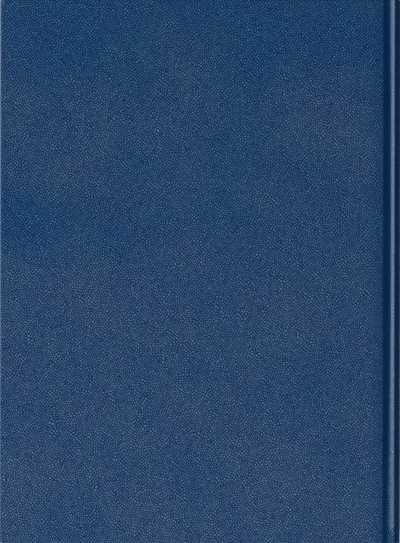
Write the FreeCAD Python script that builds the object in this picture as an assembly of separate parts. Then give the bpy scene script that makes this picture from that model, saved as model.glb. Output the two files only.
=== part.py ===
import FreeCAD, Part
import math
import os
from FreeCAD import Vector

# A case-bound comics volume, lying on its front cover with the back cover uppermost.
# X runs from the fore-edge to the spine, Y from the tail to the head, Z up. The origin is under
# the middle of the book. The book is symmetric about its middle leaf, so every height below is
# taken from that leaf, and save() sets the book down on its front cover at Z = 0.

# Case (mm)
CASE_HEIGHT = 300.0      # head to tail, over the cloth
CASE_WIDTH = 220.5       # fore-edge to the outermost line of the spine
BOARD = 2.5              # greyboard
CLOTH = 0.45             # leather-grained covering
TURN_IN = 15.0           # covering folded over inside the boards and the spine
SPINE_INLAY = 0.9        # card that stiffens the rounded spine
EDGE_ROUND = 0.9         # covering where it turns over a board's edge
CORNER_ROUND = 1.4       # board corners, seen from above
MITRE_GAP = 0.15         # between the turn-ins where they meet at a corner
GROOVE_BOARD_TO_CREST = 6.25
CREST_TO_OUTERMOST = 3.35
SLOPE_START = 3.75       # from the board's back edge to the foot of the shoulder
CREST_DROP = 0.35        # the shoulder's crest lies this far below the cover's face

# Book block (mm)
LEAVES = 14.4            # the pages pressed together
SECTIONS = 12            # sewn folds across the spine
PAPER = 0.2              # one endpaper leaf
PLAY = 0.1               # between the closed cover and the block
SQUARE = 3.5             # board beyond the trimmed pages at head, tail and fore-edge
MULL = 0.25              # open-weave cloth glued over the folds
MULL_FLANGE = 28.0       # how far the mull reaches onto each board
LINING = 0.3             # kraft paper over the mull
HOLLOW = 0.5             # between the lining and the case's spine
FOLD_SWELL = 0.3         # how far each fold stands out between its neighbours
STITCH_ROWS = 5
THREAD_RADIUS = 0.25
HEADBAND_RADIUS = 0.95
HEADBAND_SEAT = 0.6      # the bead's centre above the trimmed pages
HEADBAND_TAPE = 9.0      # length of the headband's tape down the spine

# Hinged strips of the joint, measured from the board's back edge
JOINT_FROM = 1.2
JOINT_TO = 3.65

# Heights above the middle leaf
BLOCK_TOP = LEAVES / 2
FLYLEAF_TOP = BLOCK_TOP + PAPER
INSIDE = FLYLEAF_TOP + PLAY                 # inner face of the closed cover
TURN_IN_LEVEL = INSIDE + PAPER
BOARD_UNDER = TURN_IN_LEVEL + CLOTH
BOARD_OVER = BOARD_UNDER + BOARD
FACE = BOARD_OVER + CLOTH
FLOOR = BOARD_UNDER + CLOTH                 # bottom of the groove, outside
MIDDLE = FACE                               # height of the middle leaf above the table

# Plan
FORE_EDGE = -CASE_WIDTH / 2
OUTERMOST = CASE_WIDTH / 2
CREST_X = OUTERMOST - CREST_TO_OUTERMOST
BOARD_BACK = CREST_X - GROOVE_BOARD_TO_CREST
PAGE_FORE_EDGE = FORE_EDGE + SQUARE
HALF_CASE = CASE_HEIGHT / 2
HALF_BLOCK = HALF_CASE - SQUARE
HALF_OPEN = HALF_CASE - TURN_IN             # half the length between the head and tail turn-ins

# Rounded spine. The crest is the covering turned over the inlay's rounded edge, and the slope is
# the straight line from the groove's floor that touches the crest.
CREST_RADIUS = CLOTH + SPINE_INLAY / 2
CREST_Z = FACE - CREST_DROP - CREST_RADIUS
SPINE_RADIUS = ((CREST_Z ** 2 + CREST_TO_OUTERMOST ** 2 - CREST_RADIUS ** 2)
                / (2 * (CREST_TO_OUTERMOST - CREST_RADIUS)))
SPINE_CENTRE = OUTERMOST - SPINE_RADIUS
FOOT = (BOARD_BACK + SLOPE_START, FLOOR)
CREST_FROM_FOOT = math.hypot(CREST_X - FOOT[0], CREST_Z - FOOT[1])
SLOPE = (math.atan2(CREST_Z - FOOT[1], CREST_X - FOOT[0])
         + math.asin(CREST_RADIUS / CREST_FROM_FOOT))

# Depths under the covering: along the slope, and along the spine
UNDER_CLOTH = CLOTH
UNDER_TURN_IN = 2 * CLOTH
UNDER_MULL = CLOTH + MULL
UNDER_RETURN = UNDER_TURN_IN + PAPER
UNDER_FLYLEAF = UNDER_RETURN + PAPER
INLAY_INNER = CLOTH + SPINE_INLAY
LINING_OUTER = INLAY_INNER + HOLLOW
MULL_OUTER = LINING_OUTER + LINING
FOLDS = MULL_OUTER + MULL
FOLD_RADIUS = SPINE_RADIUS - FOLDS


def point(x, z, y=0.0):
    return Vector(x, y, z)


def slab(x_from, x_to, half_length, z_from, z_to):
    """Flat piece centred on Y."""
    corner = Vector(x_from, -half_length, z_from)
    return Part.makeBox(x_to - x_from, 2 * half_length, z_to - z_from, corner)


def prism(edges, half_length):
    """Outline in the XZ plane, drawn out to both sides of Y = 0."""
    face = Part.Face(Part.Wire(edges))
    face.translate(Vector(0, -half_length, 0))
    return face.extrude(Vector(0, 2 * half_length, 0))


def line(a, b):
    return Part.makeLine(a, b)


def arc(a, through, b):
    return Part.Arc(a, through, b).toShape()


def slope_point(depth):
    """Foot of the shoulder's slope, moved inwards by a depth of covering and linings."""
    return FOOT[0] + depth * math.sin(SLOPE), FOOT[1] - depth * math.cos(SLOPE)


def slope_at(depth, height):
    """X where the slope at a depth passes a height."""
    x, z = slope_point(depth)
    return x + (height - z) / math.tan(SLOPE)


def tip_at(depth, radius):
    """Where the slope at a depth meets a circle about the spine's centre."""
    x, z = slope_point(depth)
    along = (x - SPINE_CENTRE) * math.cos(SLOPE) + z * math.sin(SLOPE)
    beyond = (x - SPINE_CENTRE) ** 2 + z ** 2 - radius ** 2
    step = -along + math.sqrt(along ** 2 - beyond)
    return x + step * math.cos(SLOPE), z + step * math.sin(SLOPE)


def filleted_tips(solid, tip, radius):
    """Rounds the two edges along Y where the slopes meet the spine."""
    edges = []
    for edge in solid.Edges:
        middle = edge.BoundBox.Center
        if edge.BoundBox.YLength > 1 and math.hypot(middle.x - tip[0], abs(middle.z) - tip[1]) < 0.01:
            edges.append(edge)
    return solid.makeFillet(radius, edges)


def layer(height, slope_depth, spine_depth, left, half_length, tip_radius=0.0):
    """Everything inside one layer of the case: level up to the shoulder, up the slope, round the spine."""
    radius = SPINE_RADIUS - spine_depth
    foot = slope_at(slope_depth, height)
    tip = tip_at(slope_depth, radius)
    edges = [
        line(point(left, height), point(foot, height)),
        line(point(foot, height), point(*tip)),
        arc(point(*tip), point(SPINE_CENTRE + radius, 0), point(tip[0], -tip[1])),
        line(point(tip[0], -tip[1]), point(foot, -height)),
        line(point(foot, -height), point(left, -height)),
        line(point(left, -height), point(left, height)),
    ]
    solid = prism(edges, half_length)
    return filleted_tips(solid, tip, tip_radius) if tip_radius else solid


def upper(solid):
    """The half above the middle leaf."""
    return solid.common(slab(FORE_EDGE - 1, OUTERMOST + 1, HALF_CASE + 1, 0, FACE + 1))


def lower(solid):
    """The same piece for the front of the book."""
    return solid.mirror(Vector(0, 0, 0), Vector(0, 0, 1))


def stretch(solid, x_from, x_to):
    """The part of a piece between two distances from the board's back edge."""
    return solid.common(slab(BOARD_BACK + x_from, BOARD_BACK + x_to, HALF_CASE + 1, -FACE - 1, FACE + 1))


def panel_slab(inset, low, high):
    """Cover panel seen from above, with its two fore-edge corners rounded."""
    back = BOARD_BACK + CLOTH - inset
    panel = slab(FORE_EDGE + inset, back, HALF_CASE - inset, low, high)
    corners = [e for e in panel.Edges
               if e.BoundBox.ZLength > 1 and e.BoundBox.Center.x < 0]
    return panel.makeFillet(CORNER_ROUND - inset, corners)


def board():
    """Greyboard of the back cover, cut square."""
    return panel_slab(CLOTH, BOARD_UNDER, BOARD_OVER)


def covered_board():
    """The board with its covering, which turns over the edges in a small round."""
    panel = panel_slab(0.0, TURN_IN_LEVEL, FACE)
    rolled = []
    for edge in panel.Edges:
        flat = edge.BoundBox.ZLength < 0.01
        back_edge = edge.BoundBox.XLength < 0.01 and edge.BoundBox.Center.x > 0
        on_top = edge.BoundBox.Center.z > (TURN_IN_LEVEL + FACE) / 2
        if flat and (on_top or not back_edge):
            rolled.append(edge)
    return panel.makeFillet(EDGE_ROUND, rolled)


def cover_cloth():
    """Covering of the back board: face, rolled edges and three turn-ins."""
    window = slab(FORE_EDGE + TURN_IN, BOARD_BACK + CLOTH + 1, HALF_OPEN, INSIDE, BOARD_UNDER)
    return covered_board().cut(board()).cut(window)


def mitred(cloth):
    """Cuts the line where the fore-edge turn-in meets the head (1) and tail (-1) turn-ins."""
    for head in (-1, 1):
        length = TURN_IN * math.sqrt(2) + 2
        cut = Part.makeBox(length, MITRE_GAP, CLOTH, Vector(-1, -MITRE_GAP / 2, 0))
        cut.rotate(Vector(0, 0, 0), Vector(0, 0, 1), 135 * head)
        cut.translate(Vector(FORE_EDGE + TURN_IN, HALF_OPEN * head, TURN_IN_LEVEL - CLOTH / 2))
        cloth = cloth.cut(cut)
    return cloth


def inlay():
    """Rounded card of the spine, with half-round long edges at the crests."""
    outer, inner = SPINE_RADIUS - CLOTH, SPINE_RADIUS - INLAY_INNER
    centre_line = SPINE_RADIUS - CREST_RADIUS
    tilt = math.asin(CREST_Z / centre_line)

    def on(radius, angle):
        return point(SPINE_CENTRE + radius * math.cos(angle), radius * math.sin(angle))

    nose = SPINE_INLAY / 2
    nose_up = point(CREST_X - nose * math.sin(tilt), CREST_Z + nose * math.cos(tilt))
    nose_down = point(CREST_X - nose * math.sin(tilt), -CREST_Z - nose * math.cos(tilt))
    edges = [
        arc(on(outer, tilt), on(outer, 0), on(outer, -tilt)),
        arc(on(outer, -tilt), nose_down, on(inner, -tilt)),
        arc(on(inner, -tilt), on(inner, 0), on(inner, tilt)),
        arc(on(inner, tilt), nose_up, on(outer, tilt)),
    ]
    return prism(edges, HALF_CASE - CLOTH)


def spine_cloth(card):
    """Covering of both joints and the spine, folded in over the card at head and tail."""
    left = BOARD_BACK
    cloth = layer(FLOOR, 0, 0, left, HALF_CASE, CREST_RADIUS)
    cloth = cloth.cut(layer(TURN_IN_LEVEL, UNDER_TURN_IN, INLAY_INNER + CLOTH, left - 1, HALF_CASE + 1))
    cloth = cloth.cut(layer(BOARD_UNDER, UNDER_CLOTH, CLOTH, left - 1, HALF_OPEN, SPINE_INLAY / 2))
    return cloth.cut(card)


def mull():
    """Open-weave cloth over the folds, down both shoulders and out onto both boards."""
    left = BOARD_BACK - MULL_FLANGE
    outside = layer(BOARD_UNDER, UNDER_CLOTH, MULL_OUTER, left, HALF_OPEN)
    return outside.cut(layer(BOARD_UNDER - MULL, UNDER_MULL, FOLDS, left - 1, HALF_OPEN + 1))


def lining():
    """Kraft paper over the mull, from shoulder to shoulder."""
    left = BOARD_BACK
    outside = layer(TURN_IN_LEVEL, UNDER_TURN_IN, LINING_OUTER, left, HALF_BLOCK)
    return outside.cut(layer(TURN_IN_LEVEL, UNDER_TURN_IN, MULL_OUTER, left - 1, HALF_BLOCK + 1))


def endpaper(turn_ins, super_cloth):
    """Back endpaper's outer leaf, draped over the turn-ins, the board and the mull."""
    left = PAGE_FORE_EDGE
    leaf = upper(layer(BOARD_UNDER, UNDER_CLOTH, FOLDS, left, HALF_BLOCK))
    leaf = leaf.cut(layer(INSIDE, UNDER_RETURN, FOLDS, left - 1, HALF_BLOCK + 1))
    leaf = leaf.cut(turn_ins).cut(super_cloth)
    inner_left, inner_half = FORE_EDGE + TURN_IN + PAPER, HALF_OPEN - PAPER
    under_mull = layer(BOARD_UNDER - MULL - PAPER, UNDER_MULL + PAPER, FOLDS + PAPER, inner_left, inner_half)
    under_board = slab(inner_left, BOARD_BACK - MULL_FLANGE - PAPER, inner_half, 0, BOARD_UNDER - PAPER)
    return leaf.cut(under_mull).cut(under_board)


def flyleaf():
    """Back endpaper's free leaf, lying on the pages and up the shoulder."""
    left = PAGE_FORE_EDGE
    leaf = upper(layer(FLYLEAF_TOP, UNDER_RETURN, FOLDS, left, HALF_BLOCK))
    return leaf.cut(layer(BLOCK_TOP, UNDER_FLYLEAF, FOLDS, left - 1, HALF_BLOCK + 1))


def stitch_angle():
    """Half the angle of the spine that the sewing crosses."""
    return math.asin(tip_at(UNDER_FLYLEAF, FOLD_RADIUS)[1] / FOLD_RADIUS) * (1 - 1 / SECTIONS)


def ring(section, angle):
    """Section drawn at Z = 0, turned about the spine's centre by an angle to each side."""
    axis = Vector(0, 1, 0)
    centre = Vector(SPINE_CENTRE, 0, 0)
    section.rotate(centre, axis, math.degrees(angle))
    return section.revolve(centre, axis, -2 * math.degrees(angle))


def radial_box(radius_from, radius_to, y_from, y_to):
    """Rectangle in the XY plane between two radii of the spine."""
    near, far = SPINE_CENTRE + radius_from, SPINE_CENTRE + radius_to
    corners = [Vector(near, y_from, 0), Vector(far, y_from, 0), Vector(far, y_to, 0), Vector(near, y_to, 0)]
    return Part.Face(Part.makePolygon(corners + corners[:1]))


def stitch_rows():
    """Positions of the sewing along the spine, with the kettle stitches near head and tail."""
    reach = HALF_OPEN - 5
    return [-reach + 2 * reach * row / (STITCH_ROWS - 1) for row in range(STITCH_ROWS)]


def text_block():
    """All the pages: rounded and backed, with a fold for every section and a hollow fore-edge."""
    tip = tip_at(UNDER_FLYLEAF, FOLD_RADIUS)
    foot = slope_at(UNDER_FLYLEAF, BLOCK_TOP)
    spread = math.asin(tip[1] / FOLD_RADIUS)
    valley = FOLD_RADIUS - FOLD_SWELL
    shoulder = FOLD_RADIUS - FOLD_SWELL / 4

    def on(radius, share):
        angle = spread * (1 - 2 * share)
        return point(SPINE_CENTRE + radius * math.cos(angle), radius * math.sin(angle))

    edges = [line(point(PAGE_FORE_EDGE, BLOCK_TOP), point(foot, BLOCK_TOP)),
             line(point(foot, BLOCK_TOP), on(FOLD_RADIUS, 0))]
    edges.append(arc(on(FOLD_RADIUS, 0), on(shoulder, 0.5 / SECTIONS), on(valley, 1 / SECTIONS)))
    for fold in range(1, SECTIONS - 1):
        edges.append(arc(on(valley, fold / SECTIONS), on(FOLD_RADIUS, (fold + 0.5) / SECTIONS),
                         on(valley, (fold + 1) / SECTIONS)))
    edges.append(arc(on(valley, 1 - 1 / SECTIONS), on(shoulder, 1 - 0.5 / SECTIONS), on(FOLD_RADIUS, 1)))
    rounding = FOLD_RADIUS * (1 - math.cos(spread))
    edges += [line(on(FOLD_RADIUS, 1), point(foot, -BLOCK_TOP)),
              line(point(foot, -BLOCK_TOP), point(PAGE_FORE_EDGE, -BLOCK_TOP)),
              arc(point(PAGE_FORE_EDGE, -BLOCK_TOP), point(PAGE_FORE_EDGE + rounding, 0),
                  point(PAGE_FORE_EDGE, BLOCK_TOP))]
    block = prism(edges, HALF_BLOCK)
    for y in stitch_rows():
        kerf = radial_box(FOLD_RADIUS - 2 * THREAD_RADIUS, FOLD_RADIUS + 1, y - THREAD_RADIUS, y + THREAD_RADIUS)
        block = block.cut(ring(kerf, stitch_angle() + 0.01))
    return block


def sewing_thread():
    """Linen thread lying in the kerfs, one row across all the sections at each station."""
    rows = []
    for y in stitch_rows():
        centre = Vector(SPINE_CENTRE + FOLD_RADIUS - THREAD_RADIUS, y, 0)
        circle = Part.makeCircle(THREAD_RADIUS, centre, Vector(0, 0, 1))
        rows.append(ring(Part.Face(Part.Wire(circle)), stitch_angle()))
    return Part.makeCompound(rows)


def headband():
    """Woven bead on the head of the block, with its tape glued down the folds."""
    outer = SPINE_CENTRE + FOLD_RADIUS + MULL
    inner = SPINE_CENTRE + FOLD_RADIUS
    bead_x, bead_y = outer - HEADBAND_RADIUS, HALF_BLOCK + HEADBAND_SEAT
    bead_foot = bead_x - math.sqrt(HEADBAND_RADIUS ** 2 - HEADBAND_SEAT ** 2)
    tape_end = HALF_BLOCK - HEADBAND_TAPE
    edges = [
        line(Vector(inner, tape_end, 0), Vector(outer, tape_end, 0)),
        line(Vector(outer, tape_end, 0), Vector(outer, bead_y, 0)),
        arc(Vector(outer, bead_y, 0), Vector(bead_x, bead_y + HEADBAND_RADIUS, 0), Vector(bead_foot, HALF_BLOCK, 0)),
        line(Vector(bead_foot, HALF_BLOCK, 0), Vector(inner, HALF_BLOCK, 0)),
        line(Vector(inner, HALF_BLOCK, 0), Vector(inner, tape_end, 0)),
    ]
    return ring(Part.Face(Part.Wire(edges)), stitch_angle())


def save(name, solid):
    solid = solid.removeSplitter()
    solid.translate(Vector(0, 0, MIDDLE))
    solid.exportStep(f"parts/{name}.step")
    box = solid.BoundBox
    print(f"{name}: {len(solid.Solids)} solid(s), valid {solid.isValid()}, {solid.Volume:.1f} mm3,"
          f" X {box.XMin:.2f} to {box.XMax:.2f}, Y {box.YMin:.2f} to {box.YMax:.2f},"
          f" Z {box.ZMin:.2f} to {box.ZMax:.2f}")


def build():
    os.makedirs("parts", exist_ok=True)
    beyond = OUTERMOST - BOARD_BACK + 1
    whole = FORE_EDGE - BOARD_BACK - 1

    card = inlay()
    joints = spine_cloth(card)
    panel = cover_cloth()
    back_cloth = mitred(panel.fuse(upper(stretch(joints, 0, JOINT_FROM))))
    joint_strip = upper(stretch(joints, JOINT_FROM, JOINT_TO))
    super_cloth = mull()
    outer_leaf = endpaper(panel.fuse(upper(joints)), super_cloth)
    free_leaf = flyleaf().fuse(stretch(outer_leaf, JOINT_TO, beyond))
    head_band = headband()

    mirrored = {
        "board": board(),
        "pastedown": stretch(outer_leaf, whole, JOINT_FROM),
        "endpaper_joint": stretch(outer_leaf, JOINT_FROM, JOINT_TO),
        "flyleaf": free_leaf,
    }
    for name, solid in mirrored.items():
        save(f"back_{name}", solid)
        save(f"front_{name}", lower(solid))
    for side, half in (("back", upper), ("front", lambda solid: lower(upper(solid)))):
        save(f"mull_{side}_flange", half(stretch(super_cloth, whole, JOINT_FROM)))
        save(f"mull_{side}_joint", half(stretch(super_cloth, JOINT_FROM, JOINT_TO)))
    save("mull_spine", stretch(super_cloth, JOINT_TO, beyond))
    save("cover_cloth_back", back_cloth)
    save("cover_cloth_front", lower(back_cloth))
    save("cover_cloth_back_joint", joint_strip)
    save("cover_cloth_front_joint", lower(joint_strip))
    save("cover_cloth_spine", stretch(joints, JOINT_TO, beyond))
    save("spine_inlay", card)
    save("spine_lining", lining())
    save("text_block", text_block())
    save("sewing_thread", sewing_thread())
    save("head_band", head_band)
    save("tail_band", head_band.mirror(Vector(0, 0, 0), Vector(0, 1, 0)))


build()
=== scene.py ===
import math

import bmesh
import bpy
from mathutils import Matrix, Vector


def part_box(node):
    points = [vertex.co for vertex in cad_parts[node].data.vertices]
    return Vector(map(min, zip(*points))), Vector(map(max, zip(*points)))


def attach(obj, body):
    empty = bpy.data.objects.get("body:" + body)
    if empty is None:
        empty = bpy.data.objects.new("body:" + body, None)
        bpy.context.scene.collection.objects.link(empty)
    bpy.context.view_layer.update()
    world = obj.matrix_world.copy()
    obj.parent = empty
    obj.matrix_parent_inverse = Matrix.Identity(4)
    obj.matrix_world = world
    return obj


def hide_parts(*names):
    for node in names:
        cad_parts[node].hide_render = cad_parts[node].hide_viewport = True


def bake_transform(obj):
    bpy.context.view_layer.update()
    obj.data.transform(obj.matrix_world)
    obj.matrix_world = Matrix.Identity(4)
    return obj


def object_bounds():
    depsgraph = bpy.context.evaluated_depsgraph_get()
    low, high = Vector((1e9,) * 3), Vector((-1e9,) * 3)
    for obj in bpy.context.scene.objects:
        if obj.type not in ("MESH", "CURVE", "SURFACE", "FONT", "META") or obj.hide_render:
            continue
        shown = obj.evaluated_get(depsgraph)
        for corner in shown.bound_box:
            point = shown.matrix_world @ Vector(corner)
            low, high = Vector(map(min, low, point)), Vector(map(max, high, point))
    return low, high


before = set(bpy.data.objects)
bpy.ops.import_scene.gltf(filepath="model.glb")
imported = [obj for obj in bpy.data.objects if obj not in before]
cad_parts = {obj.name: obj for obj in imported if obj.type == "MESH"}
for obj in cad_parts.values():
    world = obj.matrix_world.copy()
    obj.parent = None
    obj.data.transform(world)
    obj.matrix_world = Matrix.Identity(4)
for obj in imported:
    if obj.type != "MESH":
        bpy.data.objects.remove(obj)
cad_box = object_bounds()

# A case-bound comics volume, lying on its front cover. X runs from the fore-edge to the spine, Y from
# the tail to the head, Z up. The sections follow the binder's order: pages, sewing, linings,
# headbands, endpapers, boards, covering. The book is the same above and below its middle leaf.


# --------------------------------------
# Pages. Coated paper in twelve sewn sections, rounded and backed: the leaves slide into a hollow
# fore-edge and a round back, and their back edges flare out over the shoulders. The three outer
# edges are cut clean by a guillotine, which leaves every leaf a hair longer or shorter.
MM = 0.001
SECTIONS = 12
LEAVES_DRAWN = 72                 # each stands for about two real ones, which are too thin to show
LEAF_FULLNESS = 0.94              # the rest of the pitch is the shadow line between two leaves
LEAF_STEPS = 16                   # points across a leaf
CROWDING = 2.6                    # more of them towards the back edge, where the leaf bends
SHOULDER = 1.5 * MM               # length over which the outer leaves bend outwards
FOLD_SWELL = 0.3 * MM             # how far a section's middle leaf stands out at its fold
UNEVEN_CUT = 0.05 * MM
BACK_ARC_CENTRE = 88.32 * MM      # X of the line that the back is rounded about

block_low, block_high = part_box("text_block")
MIDDLE = (block_low[2] + block_high[2]) / 2
BLOCK_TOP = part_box("back_flyleaf")[0][2] - MIDDLE
BLOCK_FLARED = block_high[2] - MIDDLE
BACK_RADIUS = block_high[0] - BACK_ARC_CENTRE
ROUNDING = BACK_RADIUS - math.sqrt(BACK_RADIUS ** 2 - BLOCK_FLARED ** 2)


def linear(hex_colour):
    """The linear RGBA of an sRGB hex colour."""
    channels = [int(hex_colour[i:i + 2], 16) / 255 for i in (1, 3, 5)]
    return [c / 12.92 if c <= 0.04045 else ((c + 0.055) / 1.055) ** 2.4 for c in channels] + [1.0]


def add(tree, kind, inputs=None, stops=None, output=None, **settings):
    """Adds a node with its settings, values and links, and returns the output that is wanted."""
    made = tree.nodes.new(kind)
    for name, value in settings.items():
        setattr(made, name, value)
    for name, value in (inputs or {}).items():
        named = [s for s in made.inputs if s.identifier == name] or [made.inputs[name]]
        if isinstance(value, bpy.types.NodeSocket):
            tree.links.new(value, named[0])
        else:
            named[0].default_value = value
    if stops:
        ramp = made.color_ramp.elements
        while len(ramp) < len(stops):
            ramp.new(1.0)
        for element, (place, colour) in zip(ramp, stops):
            element.position, element.color = place, linear(colour)
    if output:
        return made.outputs[output]
    return next((s for s in made.outputs if s.enabled), made)


def new_finish(name):
    """An empty material, its node tree, and object coordinates in millimetres."""
    finish = bpy.data.materials.new(name)
    finish.use_nodes = True
    tree = finish.node_tree
    tree.nodes.clear()
    place = add(tree, "ShaderNodeTexCoord", output="Object")
    in_mm = add(tree, "ShaderNodeMapping", {"Vector": place, "Scale": (1 / MM, 1 / MM, 1 / MM)})
    return finish, tree, in_mm


def grown(name, tree, sizes, body):
    """Runs a node tree once, and keeps what it makes as a plain mesh on one body."""
    piece = bpy.data.objects.new(name, bpy.data.meshes.new(name))
    growth = piece.modifiers.new("growth", "NODES")
    growth.node_group = tree
    for item in tree.interface.items_tree:
        if item.in_out == "INPUT":
            growth[item.identifier] = sizes[item.name]
    bpy.context.scene.collection.objects.link(piece)
    made = bpy.data.meshes.new_from_object(piece.evaluated_get(bpy.context.evaluated_depsgraph_get()))
    piece.modifiers.remove(growth)
    piece.data = made
    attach(piece, body)
    return piece


def new_growth(name, inputs):
    """An empty geometry node tree with named inputs, and its input node's outputs."""
    tree = bpy.data.node_groups.new(name, "GeometryNodeTree")
    for label, kind in inputs.items():
        tree.interface.new_socket(label, in_out="INPUT", socket_type=f"NodeSocket{kind}")
    tree.interface.new_socket("Geometry", in_out="OUTPUT", socket_type="NodeSocketGeometry")
    return tree, tree.nodes.new("NodeGroupInput").outputs


# Paper that is cut through: warm white, each leaf a slightly different tint, with thin grey lines
# of painted shade between the leaves. It looks like fine layers even from far away.
WAVE = 0.314                      # mm; length of a wave texture's bands at a scale of 1
LINE_PITCH = 0.3925               # mm, about two of the leaves drawn
TINT_LENGTH, TINT_DEPTH = 25.0, 0.222    # mm along the leaves, and through them
cut_paper, tree, in_mm = new_finish("Cut_Coated_Paper")
along_leaves = add(tree, "ShaderNodeMapping", {
    "Vector": in_mm, "Scale": (1 / TINT_LENGTH, 1 / TINT_LENGTH, 1 / TINT_DEPTH)})
leaf_tint_and_shade = add(tree, "ShaderNodeTexNoise", {
    "Vector": along_leaves, "Scale": 1.0, "Detail": 3.0, "Roughness": 0.7}, output="Fac")
# The darkest stop is painted shade: it draws the grey lines between the leaves.
paper_colour = add(tree, "ShaderNodeValToRGB", {"Fac": leaf_tint_and_shade}, stops=[
    (0.30, "#B9B4A8"), (0.42, "#DDD7C8"), (0.55, "#EAE5D8"), (0.72, "#F1EDE2")])
leaf_lines = add(tree, "ShaderNodeTexWave", {
    "Vector": in_mm, "Scale": WAVE / LINE_PITCH, "Distortion": 0.6, "Detail Scale": 0.1},
    bands_direction="Z", output="Fac")
cut_relief = add(tree, "ShaderNodeBump", {"Height": leaf_lines, "Distance": 0.05 * MM, "Strength": 0.6})
surface = add(tree, "ShaderNodeBsdfPrincipled", {
    "Base Color": paper_colour, "Roughness": 0.62, "Normal": cut_relief})
add(tree, "ShaderNodeOutputMaterial", {"Surface": surface})

tree, sizes = new_growth("Rounded_Block_Of_Leaves", {
    "Leaves": "Int", "Width": "Float", "Length": "Float", "Thickness": "Float", "Fore Edge": "Float",
    "Middle": "Float", "Back Radius": "Float", "Flare": "Float", "Shoulder Start": "Float",
    "Shoulder End": "Float", "Half Section": "Float", "Fold Swell": "Float", "Uneven Cut": "Vector",
    "Seed": "Int", "Paper": "Material"})

# One leaf, from 0 at its fore-edge to 1 at its back edge, then laid in a flat pile with a little slip.
pitch = add(tree, "ShaderNodeMath", {0: sizes["Thickness"], 1: sizes["Leaves"]}, operation="DIVIDE")
thick = add(tree, "ShaderNodeMath", {0: pitch, 1: LEAF_FULLNESS}, operation="MULTIPLY")
leaf_size = add(tree, "ShaderNodeCombineXYZ", {"X": 1.0, "Y": sizes["Length"], "Z": thick})
leaf = add(tree, "GeometryNodeMeshCube", {"Size": leaf_size, "Vertices X": LEAF_STEPS}, output="Mesh")
place = add(tree, "GeometryNodeInputPosition")
at = add(tree, "ShaderNodeSeparateXYZ", {"Vector": place}).node.outputs
from_back = add(tree, "ShaderNodeMath", {0: 0.5, 1: at["X"]}, operation="SUBTRACT")
from_back = add(tree, "ShaderNodeMath", {0: from_back, 1: CROWDING}, operation="POWER")
from_front = add(tree, "ShaderNodeMath", {0: 1.0, 1: from_back}, operation="SUBTRACT")
leaf_x = add(tree, "ShaderNodeMath", {0: from_front, 1: sizes["Width"], 2: sizes["Fore Edge"]},
             operation="MULTIPLY_ADD")
place = add(tree, "ShaderNodeCombineXYZ", {"X": leaf_x, "Y": at["Y"], "Z": at["Z"]})
leaf = add(tree, "GeometryNodeSetPosition", {"Geometry": leaf, "Position": place})
bottom = add(tree, "ShaderNodeMath", {0: pitch, 1: sizes["Thickness"]}, operation="SUBTRACT")
bottom = add(tree, "ShaderNodeMath", {0: bottom, 1: 0.5}, operation="MULTIPLY")
lowest = add(tree, "ShaderNodeCombineXYZ", {"Z": bottom})
step = add(tree, "ShaderNodeCombineXYZ", {"Z": pitch})
pile = add(tree, "GeometryNodeMeshLine", {
    "Count": sizes["Leaves"], "Start Location": lowest, "Offset": step})
least = add(tree, "ShaderNodeVectorMath", {"Vector": sizes["Uneven Cut"], "Scale": -1.0},
            operation="SCALE")
slip = add(tree, "FunctionNodeRandomValue", {
    "Min": least, "Max": sizes["Uneven Cut"], "Seed": sizes["Seed"]}, data_type="FLOAT_VECTOR")
pile = add(tree, "GeometryNodeSetPosition", {"Geometry": pile, "Offset": slip})
leaves = add(tree, "GeometryNodeInstanceOnPoints", {"Points": pile, "Instance": leaf})
leaves = add(tree, "GeometryNodeRealizeInstances", {"Geometry": leaves})

# The pile slides round the back's arc, and its back edges flare out over the shoulders.
place = add(tree, "GeometryNodeInputPosition")
at = add(tree, "ShaderNodeSeparateXYZ", {"Vector": place}).node.outputs
flared = add(tree, "ShaderNodeMath", {0: at["Z"], 1: sizes["Flare"]}, operation="MULTIPLY")
share = add(tree, "ShaderNodeMath", {0: flared, 1: sizes["Back Radius"]}, operation="DIVIDE")
angle = add(tree, "ShaderNodeMath", {0: share}, operation="ARCSINE")
reach = add(tree, "ShaderNodeMath", {0: angle}, operation="COSINE")
slid = add(tree, "ShaderNodeMath", {0: reach, 1: 1.0}, operation="SUBTRACT")
rounded_x = add(tree, "ShaderNodeMath", {0: slid, 1: sizes["Back Radius"], 2: at["X"]},
                operation="MULTIPLY_ADD")
bend = add(tree, "ShaderNodeMapRange", {
    "Value": rounded_x, "From Min": sizes["Shoulder Start"], "From Max": sizes["Shoulder End"]})
lift = add(tree, "ShaderNodeMath", {0: flared, 1: at["Z"]}, operation="SUBTRACT")
level = add(tree, "ShaderNodeMath", {0: bend, 1: lift, 2: at["Z"]}, operation="MULTIPLY_ADD")

# Each section's folds stand out most at its middle leaf.
halves = add(tree, "ShaderNodeMath", {0: at["Z"], 1: sizes["Half Section"]}, operation="DIVIDE")
halves = add(tree, "ShaderNodeMath", {0: halves, 1: 1.0}, operation="ADD")
across = add(tree, "ShaderNodeMath", {0: halves, 1: 1.0, 2: -1.0}, operation="WRAP")
across = add(tree, "ShaderNodeMath", {0: across, 1: across}, operation="MULTIPLY")
inset = add(tree, "ShaderNodeMath", {0: across, 1: sizes["Fold Swell"]}, operation="MULTIPLY")
inset = add(tree, "ShaderNodeMath", {0: inset, 1: bend}, operation="MULTIPLY")
folded_x = add(tree, "ShaderNodeMath", {0: rounded_x, 1: inset}, operation="SUBTRACT")
height = add(tree, "ShaderNodeMath", {0: level, 1: sizes["Middle"]}, operation="ADD")
place = add(tree, "ShaderNodeCombineXYZ", {"X": folded_x, "Y": at["Y"], "Z": height})
leaves = add(tree, "GeometryNodeSetPosition", {"Geometry": leaves, "Position": place})
leaves = add(tree, "GeometryNodeSetMaterial", {"Geometry": leaves, "Material": sizes["Paper"]})
add(tree, "NodeGroupOutput", {"Geometry": leaves})

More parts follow.
